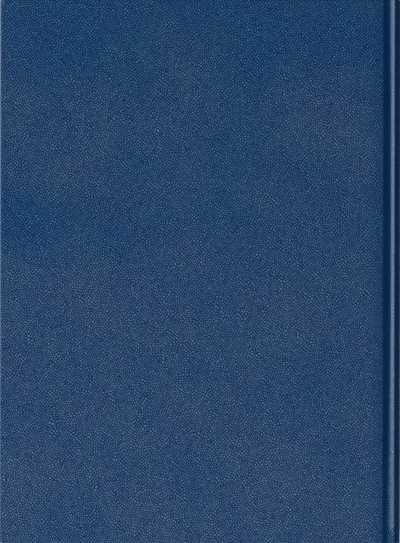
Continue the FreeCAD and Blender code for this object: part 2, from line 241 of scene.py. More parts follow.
back_edge = block_high[0] - ROUNDING
pages = grown("pages", tree, {
    "Leaves": LEAVES_DRAWN, "Width": block_high[0] - block_low[0] - ROUNDING,
    "Length": block_high[1] - block_low[1], "Thickness": 2 * BLOCK_TOP,
    "Fore Edge": block_low[0] + ROUNDING, "Middle": MIDDLE, "Back Radius": BACK_RADIUS,
    "Flare": BLOCK_FLARED / BLOCK_TOP, "Shoulder Start": back_edge - SHOULDER,
    "Shoulder End": back_edge, "Half Section": BLOCK_TOP / SECTIONS, "Fold Swell": FOLD_SWELL,
    "Uneven Cut": (UNEVEN_CUT, UNEVEN_CUT, 0.0), "Seed": 7, "Paper": cut_paper}, "book_block")
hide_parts("text_block")


# --------------------------------------
# Sewing thread. Waxed linen, laid in saw cuts across the backs of the sections and hidden by the
# linings. Its two plies show as a fine rope twist.
def finish_nodes(finish, *names):
    """Gives carried-over pieces their finish."""
    for name in names:
        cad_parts[name].material_slots[0].material = finish


TWIST_PITCH = 0.9                 # mm; a diagonal wave's bands are twice as long as a straight one's
linen, tree, in_mm = new_finish("Waxed_Linen_Thread")
plies = add(tree, "ShaderNodeTexWave", {
    "Vector": in_mm, "Scale": 2 * WAVE / TWIST_PITCH, "Distortion": 1.0},
    bands_direction="DIAGONAL", output="Fac")
linen_colour = add(tree, "ShaderNodeValToRGB", {"Fac": plies}, stops=[
    (0.0, "#B9A67F"), (1.0, "#E4D8BC")])
surface = add(tree, "ShaderNodeBsdfPrincipled", {
    "Base Color": linen_colour, "Roughness": 0.55,
    "Normal": add(tree, "ShaderNodeBump", {"Height": plies, "Distance": 0.06 * MM})})
add(tree, "ShaderNodeOutputMaterial", {"Surface": surface})
finish_nodes(linen, "sewing_thread")


# --------------------------------------
# Mull. Stiff open cotton net, glued over the folds and out onto both boards, where it carries the
# hinge. The weave is a square grid of single threads with glue between them.
NET_PITCH = 1.1                   # mm; coarser than the real 0.7 so that it shows
mull_net, tree, in_mm = new_finish("Glued_Cotton_Net")
warp, weft = [
    add(tree, "ShaderNodeTexWave", {"Vector": in_mm, "Scale": WAVE / NET_PITCH, "Distortion": 0.3},
        bands_direction=direction, output="Fac") for direction in "YX"]
net = add(tree, "ShaderNodeMath", {0: warp, 1: weft}, operation="MAXIMUM")
net_colour = add(tree, "ShaderNodeValToRGB", {"Fac": net}, stops=[
    (0.35, "#B7AA8C"), (0.75, "#D9D2BF"), (1.0, "#ECE7DA")])
surface = add(tree, "ShaderNodeBsdfPrincipled", {
    "Base Color": net_colour, "Roughness": 0.8,
    "Normal": add(tree, "ShaderNodeBump", {"Height": net, "Distance": 0.12 * MM})})
add(tree, "ShaderNodeOutputMaterial", {"Surface": surface})
finish_nodes(mull_net, "mull_spine", "mull_back_flange", "mull_front_flange")

HINGE_STEPS = 28                  # cuts across each hinged strip, into steps of equal width
CRISP = math.radians(40)          # an edge that turns by more than this stays sharp
FLAT = 0.01                       # faces that meet at less than this angle are one
WELD = 0.0001 * MM                # and points closer than this
SIDES = {"back": 1, "front": -1}  # the book's two halves, above and below its middle leaf


def hinged_copy(node, side, finish):
    """Replaces a joint strip by a copy cut into steps across."""
    low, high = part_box(node)
    strip = bmesh.new()
    strip.from_mesh(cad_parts[node].data)
    bmesh.ops.remove_doubles(strip, verts=strip.verts, dist=WELD)
    bmesh.ops.dissolve_limit(strip, angle_limit=FLAT, verts=strip.verts, edges=strip.edges)
    for step in range(1, HINGE_STEPS):
        cut_x = low[0] + (high[0] - low[0]) * step / HINGE_STEPS
        everything = strip.verts[:] + strip.edges[:] + strip.faces[:]
        bmesh.ops.bisect_plane(strip, geom=everything, plane_co=(cut_x, 0, 0), plane_no=(1, 0, 0))
    mesh = bpy.data.meshes.new(f"{node}_bent")
    strip.to_mesh(mesh)
    strip.free()
    mesh.shade_smooth()
    mesh.set_sharp_from_angle(angle=CRISP)
    mesh.materials.append(finish)
    piece = bpy.data.objects.new(f"{node}_bent", mesh)
    bpy.context.scene.collection.objects.link(piece)
    bend_across(piece, side, low, high)
    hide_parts(node)


def bend_across(piece, side, low, high):
    """Bakes the piece's placement into its mesh."""
    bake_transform(piece)


for side in SIDES:
    hinged_copy(f"mull_{side}_joint", side, mull_net)


# --------------------------------------
# Back lining. A strip of brown kraft paper, glued over the net along the whole back. It stiffens
# the back and keeps it round. Its long fibres show as fine streaks round the curve.
FIBRE_LENGTH, FIBRE_WIDTH = 1.67, 0.278    # mm
kraft, tree, in_mm = new_finish("Brown_Kraft_Paper")
along_fibres = add(tree, "ShaderNodeMapping", {
    "Vector": in_mm, "Scale": (1 / FIBRE_LENGTH, 1 / FIBRE_WIDTH, 1 / FIBRE_LENGTH)})
fibres = add(tree, "ShaderNodeTexNoise", {"Vector": along_fibres, "Scale": 1.0, "Detail": 4.0},
             output="Fac")
kraft_colour = add(tree, "ShaderNodeValToRGB", {"Fac": fibres}, stops=[
    (0.3, "#8B6740"), (0.7, "#B48D5F")])
surface = add(tree, "ShaderNodeBsdfPrincipled", {
    "Base Color": kraft_colour, "Roughness": 0.75,
    "Normal": add(tree, "ShaderNodeBump", {"Height": fibres, "Distance": 0.05 * MM})})
add(tree, "ShaderNodeOutputMaterial", {"Surface": surface})
finish_nodes(kraft, "spine_lining")


# --------------------------------------
# Headbands. A machine-woven bead of rayon thread at head and tail of the back, in cream and blue
# stripes. The bead's core and its tape are plain, and the wound thread lies round the bead.
BEAD = 0.95 * MM                  # radius of the bead
SILK = 0.24 * MM                  # radius of one wound thread
SILK_PITCH = 1.8 * SILK           # the turns are pressed together
TURNS_A_STRIPE = 4
FILAMENTS = 6.0                   # side by side in a millimetre of thread

# Rayon is spun from straight bright filaments, so it is silky, and its colour is broken up finely.
rayons = []
for name, shaded, lit in (("Cream_Rayon_Thread", "#D8CFB8", "#F0EADB"),
                          ("Blue_Rayon_Thread", "#12305A", "#23497F")):
    rayon, tree, in_mm = new_finish(name)
    strands = add(tree, "ShaderNodeTexNoise", {"Vector": in_mm, "Scale": FILAMENTS, "Detail": 2.0},
                  output="Fac")
    rayon_colour = add(tree, "ShaderNodeValToRGB", {"Fac": strands}, stops=[(0.3, shaded), (0.7, lit)])
    surface = add(tree, "ShaderNodeBsdfPrincipled", {
        "Base Color": rayon_colour, "Roughness": 0.38, "Sheen Weight": 0.3,
        "Normal": add(tree, "ShaderNodeBump", {"Height": strands, "Distance": 0.03 * MM})})
    add(tree, "ShaderNodeOutputMaterial", {"Surface": surface})
    rayons.append(rayon)
cream_rayon, blue_rayon = rayons
finish_nodes(cream_rayon, "head_band", "tail_band")

tree, sizes = new_growth("Wound_Headband", {
    "Centre": "Vector", "Arc Radius": "Float", "Start Angle": "Float", "Sweep Angle": "Float",
    "Bead Radius": "Float", "Thread Radius": "Float", "Thread Pitch": "Float",
    "Stripe Period": "Float", "Stripe Start": "Float", "Main Thread": "Material",
    "Stripe Thread": "Material"})
arc = add(tree, "GeometryNodeCurveArc", {
    "Radius": sizes["Arc Radius"], "Start Angle": sizes["Start Angle"],
    "Sweep Angle": sizes["Sweep Angle"]}, output="Curve")
arc = add(tree, "GeometryNodeTransform", {
    "Geometry": arc, "Rotation": (math.pi / 2, 0.0, 0.0), "Translation": sizes["Centre"]})
turn_points = add(tree, "GeometryNodeCurveToPoints", {
    "Curve": arc, "Length": sizes["Thread Pitch"]}, mode="LENGTH")
turn_rotation = turn_points.node.outputs["Rotation"]
bead_line = add(tree, "GeometryNodeCurvePrimitiveCircle", {
    "Resolution": 14, "Radius": sizes["Bead Radius"]}, output="Curve")
thread_line = add(tree, "GeometryNodeCurvePrimitiveCircle", {
    "Resolution": 6, "Radius": sizes["Thread Radius"]}, output="Curve")
turn = add(tree, "GeometryNodeCurveToMesh", {"Curve": bead_line, "Profile Curve": thread_line})
number = add(tree, "GeometryNodeInputIndex")
number = add(tree, "ShaderNodeMath", {0: number, 1: sizes["Stripe Period"]}, operation="MODULO")
striped = add(tree, "ShaderNodeMath", {0: number, 1: sizes["Stripe Start"]}, operation="GREATER_THAN")
turn_points = add(tree, "GeometryNodeStoreNamedAttribute", {
    "Geometry": turn_points, "Name": "stripe", "Value": striped})
turns = add(tree, "GeometryNodeInstanceOnPoints", {
    "Points": turn_points, "Instance": turn, "Rotation": turn_rotation})
turns = add(tree, "GeometryNodeRealizeInstances", {"Geometry": turns})
turns = add(tree, "GeometryNodeSetShadeSmooth", {"Geometry": turns})
turns = add(tree, "GeometryNodeSetMaterial", {"Geometry": turns, "Material": sizes["Main Thread"]})
striped = add(tree, "GeometryNodeInputNamedAttribute", {"Name": "stripe"}, output="Attribute")
turns = add(tree, "GeometryNodeSetMaterial", {
    "Geometry": turns, "Selection": striped, "Material": sizes["Stripe Thread"]})
add(tree, "NodeGroupOutput", {"Geometry": turns})

for node in ("head_band", "tail_band"):
    low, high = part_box(node)
    end = 1 if high[1] > 0 else -1
    bead_x = high[0] - BEAD
    half_angle = math.asin((high[2] - MIDDLE) / (high[0] - BACK_ARC_CENTRE))
    bead_y = end * (max(abs(low[1]), abs(high[1])) - BEAD)
    grown(f"{node}_threads", tree, {
        "Centre": (BACK_ARC_CENTRE, bead_y, MIDDLE), "Arc Radius": bead_x - BACK_ARC_CENTRE,
        "Start Angle": -half_angle, "Sweep Angle": 2 * half_angle, "Bead Radius": BEAD,
        "Thread Radius": SILK, "Thread Pitch": SILK_PITCH, "Stripe Period": 2.0 * TURNS_A_STRIPE,
        "Stripe Start": TURNS_A_STRIPE - 0.5, "Main Thread": cream_rayon,
        "Stripe Thread": blue_rayon}, "book_block")


# --------------------------------------
# Endpapers. A folded sheet of strong uncoated paper at each end: one leaf is glued down inside the
# cover over the turn-ins, and crosses the joint to the free leaf on the pages. Wove paper is an even
# cream, faintly cloudy where its fibres lie closer, with a matt tooth.
PAPER_CLOUD = 4.55                # mm
TOOTH = 0.625                     # mm; coarser than the real one so that it shows
endpaper, tree, in_mm = new_finish("Uncoated_Wove_Paper")
cloudy = add(tree, "ShaderNodeTexNoise", {"Vector": in_mm, "Scale": 1 / PAPER_CLOUD, "Detail": 4.0},
             output="Fac")
tooth = add(tree, "ShaderNodeTexNoise", {"Vector": in_mm, "Scale": 1 / TOOTH, "Detail": 3.0},
            output="Fac")
paper_colour = add(tree, "ShaderNodeValToRGB", {"Fac": cloudy}, stops=[
    (0.3, "#E6E1D3"), (0.7, "#F1EDE2")])
surface = add(tree, "ShaderNodeBsdfPrincipled", {
    "Base Color": paper_colour, "Roughness": 0.85,
    "Normal": add(tree, "ShaderNodeBump", {"Height": tooth, "Distance": 0.03 * MM})})
add(tree, "ShaderNodeOutputMaterial", {"Surface": surface})
finish_nodes(endpaper, "back_flyleaf", "front_flyleaf", "back_pastedown", "front_pastedown")
for side in SIDES:
    hinged_copy(f"{side}_endpaper_joint", side, endpaper)


# --------------------------------------
# Boards. Grey millboard, pressed from waste paper and cut square, one for each cover. It is matt and
# rough, with darker specks of the paper that it was made from.
BOARD_SPECK = 1.11                # mm
greyboard, tree, in_mm = new_finish("Grey_Millboard")
pulp = add(tree, "ShaderNodeTexNoise", {
    "Vector": in_mm, "Scale": 1 / BOARD_SPECK, "Detail": 5.0, "Roughness": 0.7}, output="Fac")
board_colour = add(tree, "ShaderNodeValToRGB", {"Fac": pulp}, stops=[
    (0.28, "#5F5C57"), (0.45, "#87837B"), (0.75, "#A19D94")])
surface = add(tree, "ShaderNodeBsdfPrincipled", {
    "Base Color": board_colour, "Roughness": 0.9,
    "Normal": add(tree, "ShaderNodeBump", {"Height": pulp, "Distance": 0.08 * MM})})
add(tree, "ShaderNodeOutputMaterial", {"Surface": surface})
finish_nodes(greyboard, "back_board", "front_board")


# --------------------------------------
# Spine card. A thinner, denser card than the boards, rolled to the back's curve and glued under the
# covering between the two joints. It is warmer and more even than the boards are.
CARD_SPECK = 0.714                # mm
spine_card, tree, in_mm = new_finish("Dense_Spine_Card")
pulp = add(tree, "ShaderNodeTexNoise", {"Vector": in_mm, "Scale": 1 / CARD_SPECK, "Detail": 4.0},
           output="Fac")
card_colour = add(tree, "ShaderNodeValToRGB", {"Fac": pulp}, stops=[
    (0.3, "#7A766D"), (0.7, "#9A958A")])
surface = add(tree, "ShaderNodeBsdfPrincipled", {
    "Base Color": card_colour, "Roughness": 0.8,
    "Normal": add(tree, "ShaderNodeBump", {"Height": pulp, "Distance": 0.05 * MM})})
add(tree, "ShaderNodeOutputMaterial", {"Surface": surface})
finish_nodes(spine_card, "spine_inlay")


# --------------------------------------
# Covering. One sheet of blue leather-grained binding cloth, glued round both boards and the spine
# card, pressed into the two joints and folded in 15 mm at all the edges. It is drawn in five
# pieces, which meet without a gap: two covers, two joints, and the spine.
CLOTH = 0.45 * MM
EDGE_ROUND = 0.9 * MM             # where the sheet turns over an edge
CORNER_ROUND = 1.4 * MM           # a cover's corner, seen from above
TURN_IN = 15 * MM
MITRE_GAP = 0.15 * MM             # between two turn-ins at a corner
WALL_ANGLE = math.radians(36)     # the sheet comes off the board's back edge at this slope
SLOPE = math.radians(45.35)       # the shoulder's slope up to the spine's crest
CREST_RADIUS = 0.9 * MM
CREST_SETBACK = 3.45 * MM         # from the spine's outermost line to the middle of the crest
SOFT = 0.9 * MM                   # how softly the sheet turns into the bottom of the groove
INNER_SOFT = 0.2 * MM             # and its turn-in, up out of it
CAP_LIFT = 0.7 * MM               # the groove is shallower by this at head and tail
CAP_LENGTH = 17 * MM
SPINE_FOLD = 1.8 * MM             # thickness of the spine's folded ends

# Wear runs from 0, untouched, to 1, that of the spine's crests. It carries real rubbing and also a
# painted highlight, which is strongest where the sheet faces the key lamp on the fore-edge side.
FACE_WEAR_AND_GLINT = 0.7
ARC_WEAR_AND_GLINT = 0.01                   # of the spine between its crests, which faces away from the lamp and gets almost no painted highlight
CREST_LEAN = 0.35                 # a crest's painted highlight and rubbing peak at this angle from its top, towards the board and the lamp
SHELTER = 9 * MM                  # how far from the groove a cover is handled less
SHELTERED = 0.42                  # by how much, as a share
UNTOUCHED_DEPTH = 0.5 * MM        # below the face, where handling ends
END_RUBBING_AND_HIGHLIGHT = 0.05                # how much the head and tail edges are rubbed and painted with highlight, beside the fore-edge's roll, which faces the lamp
CORNER_RUBBING = 1.3
TURN_IN_RUBBING = 0.3
# From the head or the tail: where a change in the spine's rubbing and painted highlight starts, and
# where it is complete.
HEAD_SPREAD = (70 * MM, 10 * MM)  # it spreads to both sides of the crests
TAIL_SPREAD = (130 * MM, 10 * MM)
TAIL_REACH = (7 * MM, 2 * MM)     # it reaches further down the shoulder
TAIL_FADE = (10 * MM, 2 * MM)     # the folded end is rubbed less, and painted with less highlight

cover_low, cover_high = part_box("cover_cloth_back")
joint_low, joint_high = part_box("cover_cloth_back_joint")
spine_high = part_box("cover_cloth_spine")[1]
FORE_EDGE = cover_low[0]
HALF_CASE = cover_high[1]
FACE = cover_high[2] - MIDDLE
TURN_IN_LEVEL = joint_low[2] - MIDDLE
FLOOR = joint_high[2] - MIDDLE
CREST_Z = spine_high[2] - MIDDLE - CREST_RADIUS
CREST_X = cad_box[1][0] - CREST_SETBACK
SPINE_RADIUS = cad_box[1][0] - BACK_ARC_CENTRE
CREST_ANGLE = math.atan2(CREST_Z, CREST_X - BACK_ARC_CENTRE)
BOARD_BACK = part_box("back_board")[1][0]
ROLL_X = BOARD_BACK + CLOTH - EDGE_ROUND


def smooth_max(a, b, soft):
    """The higher of two heights, with the corner between them filled in softly."""
    near = max(soft - abs(a - b), 0.0) / soft
    return max(a, b) + near * near * soft / 4


def eased(share):
    """0 to 1 with a gentle start and end."""
    share = min(max(share, 0.0), 1.0)
    return share * share * (3 - 2 * share)


def outside(x, y):
    """Height of the sheet's outside above the middle leaf, from the board to the spine's crest."""
    if x <= ROLL_X:
        return FACE
    beyond = x - ROLL_X
    if beyond < EDGE_ROUND * math.sin(WALL_ANGLE):
        return FACE - EDGE_ROUND + math.sqrt(EDGE_ROUND ** 2 - beyond ** 2)
    wall_top = FACE - EDGE_ROUND + EDGE_ROUND * math.cos(WALL_ANGLE)
    wall = wall_top - (beyond - EDGE_ROUND * math.sin(WALL_ANGLE)) * math.tan(WALL_ANGLE)
    shoulder = CREST_Z + (x - CREST_X) * math.tan(SLOPE) + CREST_RADIUS / math.cos(SLOPE)
    floor = FLOOR + CAP_LIFT * eased((abs(y) - HALF_CASE + CAP_LENGTH) / CAP_LENGTH)
    return smooth_max(smooth_max(wall, floor, SOFT), shoulder, SOFT)


# The sheet's lines round an edge: under the fold, round the roll, and onto the face. Each is the
# side it lies on (-1 under, 1 over), its angle round the roll, and how far in from the roll it is.
FACE_INSET = 1.6 * MM             # of the line where the flat face starts
FOLD_LINES = [(-1, 90, TURN_IN), (-1, 90, 3 * MM), (-1, 90, FACE_INSET)]
FOLD_LINES += [(-1, angle, 0.0) for angle in (90, 67, 45, 22, 0)]
FOLD_LINES += [(1, angle, 0.0) for angle in (0, 22, 45, 67, 90)]
FOLD_LINES += [(1, 90, FACE_INSET)]
GRID = 2.6 * MM                   # spacing of the sheet's points on a face
ROLL_STEP = 0.11 * MM             # closer where it rolls down into the groove
SHOULDER_STEP = 0.22 * MM         # and up the shoulder
CREST_STEP = 0.2                  # round a crest, as an angle
ARC_STEP = 0.03                   # and round the back
CORNER_STEPS = 4                  # points round a cover's corner
MITRED = 2                        # the first bands from a turn-in's edge, which are cut at the corners


def on_fold(line, thickness, wear_and_highlight, rubbing=1.0):
    """Where a fold line lies: its inset, its depth, how far it is along the sheet, and its wear. The
    sheet is rubbed more where it turns than beside that, and gets a painted highlight there, where its
    roll faces the lamp; a turn-in is rubbed only there."""
    over, angle, inset = line
    radius = min(EDGE_ROUND, thickness / 2)
    turn = math.radians(angle)
    inset = max(inset, radius * (1 - math.cos(turn)))
    depth = radius * (1 - math.sin(turn))
    rubbed_and_highlit = rubbing * math.sqrt(wear_and_highlight) * math.sin(2 * turn)
    if over > 0:
        return inset, depth, depth - inset, wear_and_highlight + (1 - wear_and_highlight) * rubbed_and_highlit
    return inset, thickness - depth, thickness - depth + inset, TURN_IN_RUBBING * rubbed_and_highlit


def handled_and_glinting(x):
    """How much a cover's face is worn and painted with glints at a distance across it: it is sheltered
    near the groove.
    """
    sheltered = SHELTERED * eased((x - ROLL_X + SHELTER) / SHELTER)
    return FACE_WEAR_AND_GLINT * (1 - sheltered) * eased(1 - (FACE - outside(x, 0)) / UNTOUCHED_DEPTH)


def near_end(gap, starts, full):
    """0 at one distance from an end of the book, eased to 1 at a shorter one."""
    return eased((starts - gap) / (starts - full))


def spread(y):
    """How far the spine's rubbing spreads to both sides of the crests: more towards head and tail."""
    return 0.5 * near_end(HALF_CASE - y, *HEAD_SPREAD) + near_end(HALF_CASE + y, *TAIL_SPREAD)


def shoulder_wear_and_highlight(x, y):
    """How much the shoulder is rubbed and painted with highlight, where it faces the lamp, from the
    groove up to the spine's crest.
    """
    share = (x - joint_high[0]) / (CREST_X - joint_high[0])
    reach = 0.05 + 0.6 * max(spread(y), near_end(HALF_CASE + y, *TAIL_REACH))
    return eased((share + reach) / (0.5 + 0.5 * spread(y)))


def spine_wear_and_highlight(rub_and_highlight, y):
    """How much the spine is rubbed and painted with highlight: a little less along its tail half, and
    much less at the tail.
    """
    tail_half = 1 - 0.1 * near_end(HALF_CASE + y, *TAIL_SPREAD)
    folded_end = 1 - 0.45 * near_end(HALF_CASE + y, *TAIL_FADE)
    return rub_and_highlight ** (1 - 0.45 * spread(y)) * tail_half * folded_end


def spaced(first, last, step):
    """Numbers from first to last, about a step apart."""
    count = max(1, round(abs(last - first) / step))
    return [first + (last - first) * i / count for i in range(count + 1)]


face_ys = spaced(-HALF_CASE + FACE_INSET, HALF_CASE - FACE_INSET, GRID)
face_xs = spaced(FORE_EDGE + FACE_INSET, ROLL_X, GRID)
face_xs += spaced(ROLL_X, cover_high[0], ROLL_STEP)[1:]

# Every point of the sheet carries where it lies on the flat sheet, across and along, and how much
# it is rubbed and painted with highlight. Across is measured over the outside from the book's middle
# on the back cover.
across_at = {}
run = 0.0
for near, far in zip([0.0] + face_xs, face_xs):
    run = far if far <= ROLL_X else run + math.hypot(far - near, outside(far, 0) - outside(near, 0))
    across_at[far] = run


def panel_line(line):
    """One line of a cover's sheet, from the tail round the fore-edge to the head."""
    left_inset, left_depth, left_run, rub_and_highlight = on_fold(line, FACE - TURN_IN_LEVEL, FACE_WEAR_AND_GLINT)
    gap = MITRE_GAP if left_inset > FACE_INSET else 0.0
    ends = {}
    for end in (-1, 1):
        row = []
        for x in face_xs:
            thickness = outside(x, end * HALF_CASE) - TURN_IN_LEVEL
            inset, depth, reach, worn_and_highlit = on_fold(line, thickness, handled_and_glinting(x), END_RUBBING_AND_HIGHLIGHT)
            y = end * (HALF_CASE - inset)
            level = outside(x, y) - depth if line[0] > 0 else TURN_IN_LEVEL + thickness - depth
            row.append((max(x, FORE_EDGE + left_inset + gap), y, level,
                        across_at[x], end * (HALF_CASE + reach), worn_and_highlit))
        ends[end] = row
    radius = max(CORNER_ROUND - left_inset, 0.0)
    corner_inset = max(CORNER_ROUND, left_inset)
    corners = {}
    for end in (-1, 1):
        corners[end] = []
        for turn in spaced(0.0, math.pi / 2, math.pi / 2 / (CORNER_STEPS + 1))[1:-1]:
            x = FORE_EDGE + corner_inset - radius * math.sin(turn)
            y = HALF_CASE - corner_inset + radius * math.cos(turn)
            corners[end].append((x, end * y, FACE - left_depth, x - left_run * math.sin(turn),
                                 end * (y + left_run * math.cos(turn)), min(CORNER_RUBBING * rub_and_highlight, 1.0)))
    limit = HALF_CASE - left_inset - gap
    fore = [(FORE_EDGE + left_inset, min(max(y, -limit), limit), FACE - left_depth,
             FORE_EDGE - left_run, y, rub_and_highlight) for y in face_ys]
    return ends[-1][::-1] + corners[-1] + fore + corners[1][::-1] + ends[1]


def sheet_mesh(name, lines, broken=(), face=(), outwards=(0, 0, 1)):
    """A piece of the sheet from rows of points, as thick as the cloth, smooth and closed. The rows
    are its fold lines and, apart from them, its face; broken are the steps left open at a mitre."""
    sheet = bmesh.new()
    flat_place = sheet.verts.layers.float_vector.new("sheet")
    for rows in (lines, face):
        made = []
        for row in rows:
            made.append([])
            for x, y, z, across, along, rub_and_highlight in row:
                made[-1].append(sheet.verts.new((x, y, z)))
                made[-1][-1][flat_place] = (across / MM, along / MM, rub_and_highlight)
        for number, (one, other) in enumerate(zip(made, made[1:])):
            for i in range(len(one) - 1):
                mitred = rows is lines and number < MITRED and i in broken
                if not mitred:
                    sheet.faces.new((one[i], one[i + 1], other[i + 1], other[i]))
    bmesh.ops.remove_doubles(sheet, verts=sheet.verts, dist=WELD)
    bmesh.ops.dissolve_degenerate(sheet, edges=sheet.edges, dist=WELD)
    bmesh.ops.recalc_face_normals(sheet, faces=sheet.faces)
    way = Vector(outwards)
    outermost = max(sheet.faces, key=lambda panel: panel.calc_center_median().dot(way))
    if outermost.normal.dot(way) < 0:
        bmesh.ops.reverse_faces(sheet, faces=sheet.faces)
    mesh = bpy.data.meshes.new(name)
    sheet.to_mesh(mesh)
    sheet.free()
    piece = bpy.data.objects.new(name, mesh)
    bpy.context.scene.collection.objects.link(piece)
    wall = piece.modifiers.new("cloth", "SOLIDIFY")
    wall.thickness, wall.offset = CLOTH, -1
    made = bpy.data.meshes.new_from_object(piece.evaluated_get(bpy.context.evaluated_depsgraph_get()))
    piece.modifiers.remove(wall)
    piece.data = made
    made.shade_smooth()
    made.set_sharp_from_angle(angle=CRISP)
    return piece


def strip_lines(stations):
    """Rows of points along each fold line and face line, over stations across the sheet."""
    rows = []
    for end in (-1, 1):
        for line in FOLD_LINES if end < 0 else FOLD_LINES[::-1]:
            row = []
            for station in stations:
                outer, inner, across, rub_and_highlight = station(end * HALF_CASE)
                worn_and_highlit = spine_wear_and_highlight(rub_and_highlight, end * HALF_CASE)
                thickness = (outer - inner).length
                inset, depth, reach, worn_and_highlit = on_fold(line, thickness, worn_and_highlit)
                y = end * (HALF_CASE - inset)
                outer, inner = station(y)[:2]
                if line[0] > 0:
                    at = outer.lerp(inner, depth / (outer - inner).length)
                else:
                    at = inner.lerp(outer, (thickness - depth) / (outer - inner).length)
                row.append((at[0], y, at[1], across, end * (HALF_CASE + reach), worn_and_highlit))
            rows.append(row)
        if end < 0:
            for y in face_ys[1:-1]:
                row = []
                for station in stations:
                    outer, inner, across, rub_and_highlight = station(y)
                    row.append((outer[0], y, outer[1], across, y, spine_wear_and_highlight(rub_and_highlight, y)))
                rows.append(row)
    return rows


def groove_station(x, inner_x, inner_z, across):
    """The sheet at one distance across the groove: its outside, and the turn-in's inside."""
    inner = Vector((inner_x, inner_z))
    return lambda y: (Vector((x, outside(x, y))), inner, across, shoulder_wear_and_highlight(x, y))


def fixed_station(outer, inner, across, rub_and_highlight):
    """The sheet at one place across the spine, which is the same from tail to head."""
    return lambda y: (outer, inner, across, rub_and_highlight)


joint_stations = []
last = (cover_high[0], outside(cover_high[0], 0))
for x in spaced(joint_low[0], joint_high[0], (joint_high[0] - joint_low[0]) / HINGE_STEPS):
    run += math.hypot(x - last[0], outside(x, 0) - last[1])
    last = (x, outside(x, 0))
    joint_stations.append(groove_station(x, x, TURN_IN_LEVEL, run))

# Across the spine: up the shoulder, round the crest, and along the arc to the middle. The inside
# follows the outside at two cloths' depth on the shoulder, and at the folded card's on the arc.
tangent_x = CREST_X - CREST_RADIUS * math.sin(SLOPE)
inner_radius = SPINE_RADIUS - SPINE_FOLD
tip_angle = CREST_ANGLE - CREST_RADIUS / SPINE_RADIUS
tip = (BACK_ARC_CENTRE + inner_radius * math.cos(tip_angle), inner_radius * math.sin(tip_angle))
half_spine = []
for x in spaced(joint_high[0], tangent_x, SHOULDER_STEP):
    run += math.hypot(x - last[0], outside(x, 0) - last[1])
    last = (x, outside(x, 0))
    share = (x - joint_high[0]) / (CREST_X - joint_high[0])
    inner_x = joint_high[0] + share * (tip[0] - joint_high[0])
    rise = tip[1] - (tip[0] - inner_x) * math.tan(SLOPE)
    half_spine.append(groove_station(x, inner_x, smooth_max(TURN_IN_LEVEL, rise, INNER_SOFT), run))
crest_turns = spaced(math.pi / 2 + SLOPE, CREST_ANGLE, CREST_STEP)
for before, turn in zip(crest_turns, crest_turns[1:]):
    run += (before - turn) * CREST_RADIUS
    outer = Vector((CREST_X + CREST_RADIUS * math.cos(turn), CREST_Z + CREST_RADIUS * math.sin(turn)))
    share = min((outer[0] - joint_high[0]) / (CREST_X - joint_high[0]), 1.0)
    inner = Vector((joint_high[0] + share * (tip[0] - joint_high[0]),
                    tip[1] - (1 - share) * (tip[0] - joint_high[0]) * math.tan(SLOPE)))
    half_spine.append(fixed_station(outer, inner, run, eased(2 * math.sin(turn - CREST_LEAN) - 1)))
arc_turns = spaced(CREST_ANGLE, 0.0, ARC_STEP)
for before, turn in zip(arc_turns, arc_turns[1:]):
    run += (before - turn) * SPINE_RADIUS
    outer = Vector((BACK_ARC_CENTRE + SPINE_RADIUS * math.cos(turn), SPINE_RADIUS * math.sin(turn)))
    below = turn * tip_angle / CREST_ANGLE
    inner = Vector((BACK_ARC_CENTRE + inner_radius * math.cos(below), inner_radius * math.sin(below)))
    half_spine.append(fixed_station(outer, inner, run, ARC_WEAR_AND_GLINT))
MIDDLE_RUN = run


def placed(point, up):
    """A point given above the middle leaf, put into the book or mirrored to its front half."""
    x, y, z, across, along, rub_and_highlight = point
    return x, y, MIDDLE + up * z, across if up > 0 else 2 * MIDDLE_RUN - across, along, rub_and_highlight


def mirrored(station):
    """The same station on the front half of the spine."""
    def other(y):
        outer, inner, across, rub_and_highlight = station(y)
        flip = Vector((1, -1))
        return outer * flip, inner * flip, 2 * MIDDLE_RUN - across, rub_and_highlight
    return other


spine_stations = half_spine + [mirrored(station) for station in half_spine[-2::-1]]

# Binding cloth with a coating embossed like leather, in small close pebbles. Its deep blue shows in
# the creases between them and in the joints, where nothing rubs and no highlight is painted. The tops
# of the pebbles are paler: partly polished by handling, partly a painted highlight of their glints in
# the lamp, more on the fore-edge and most on the spine's crests.
PEBBLE_PITCH = 1.18               # mm from one pebble to the next, drawn a little coarser than it is
PEBBLE_LEAN = math.radians(38)    # they lie aslant
PEBBLE_WIDTH = 0.88               # of a pebble's length
WANDER, WANDER_LENGTH = 2.5, 10.0    # mm that the rows of pebbles stray, and over what length
leathercloth, tree, in_mm = new_finish("Grained_Blue_Leathercloth")
on_sheet = add(tree, "ShaderNodeAttribute", output="Vector", attribute_name="sheet")
sheet_axes = add(tree, "ShaderNodeSeparateXYZ", {"Vector": on_sheet}).node.outputs
wander = add(tree, "ShaderNodeTexNoise", {
    "Vector": on_sheet, "Scale": 1 / WANDER_LENGTH, "Detail": 1.0},
    noise_dimensions="2D", output="Color")
wander = add(tree, "ShaderNodeVectorMath", {"Vector": wander, "Vector_001": (0.5, 0.5, 0.5)},
             operation="SUBTRACT")
wander = add(tree, "ShaderNodeVectorMath", {"Vector": wander, "Scale": WANDER}, operation="SCALE")
wandering = add(tree, "ShaderNodeVectorMath", {"Vector": on_sheet, "Vector_001": wander},
                operation="ADD")
turned = add(tree, "ShaderNodeMapping", {
    "Vector": wandering, "Rotation": (0, 0, PEBBLE_LEAN), "Scale": (1.0, PEBBLE_WIDTH, 1.0)})
pebbles = add(tree, "ShaderNodeTexVoronoi", {
    "Vector": turned, "Scale": 1 / PEBBLE_PITCH, "Randomness": 0.75},
    voronoi_dimensions="2D", feature="DISTANCE_TO_EDGE", output="Distance")
grain = add(tree, "ShaderNodeMapRange", {"Value": pebbles, "From Min": 0.05, "From Max": 0.4})

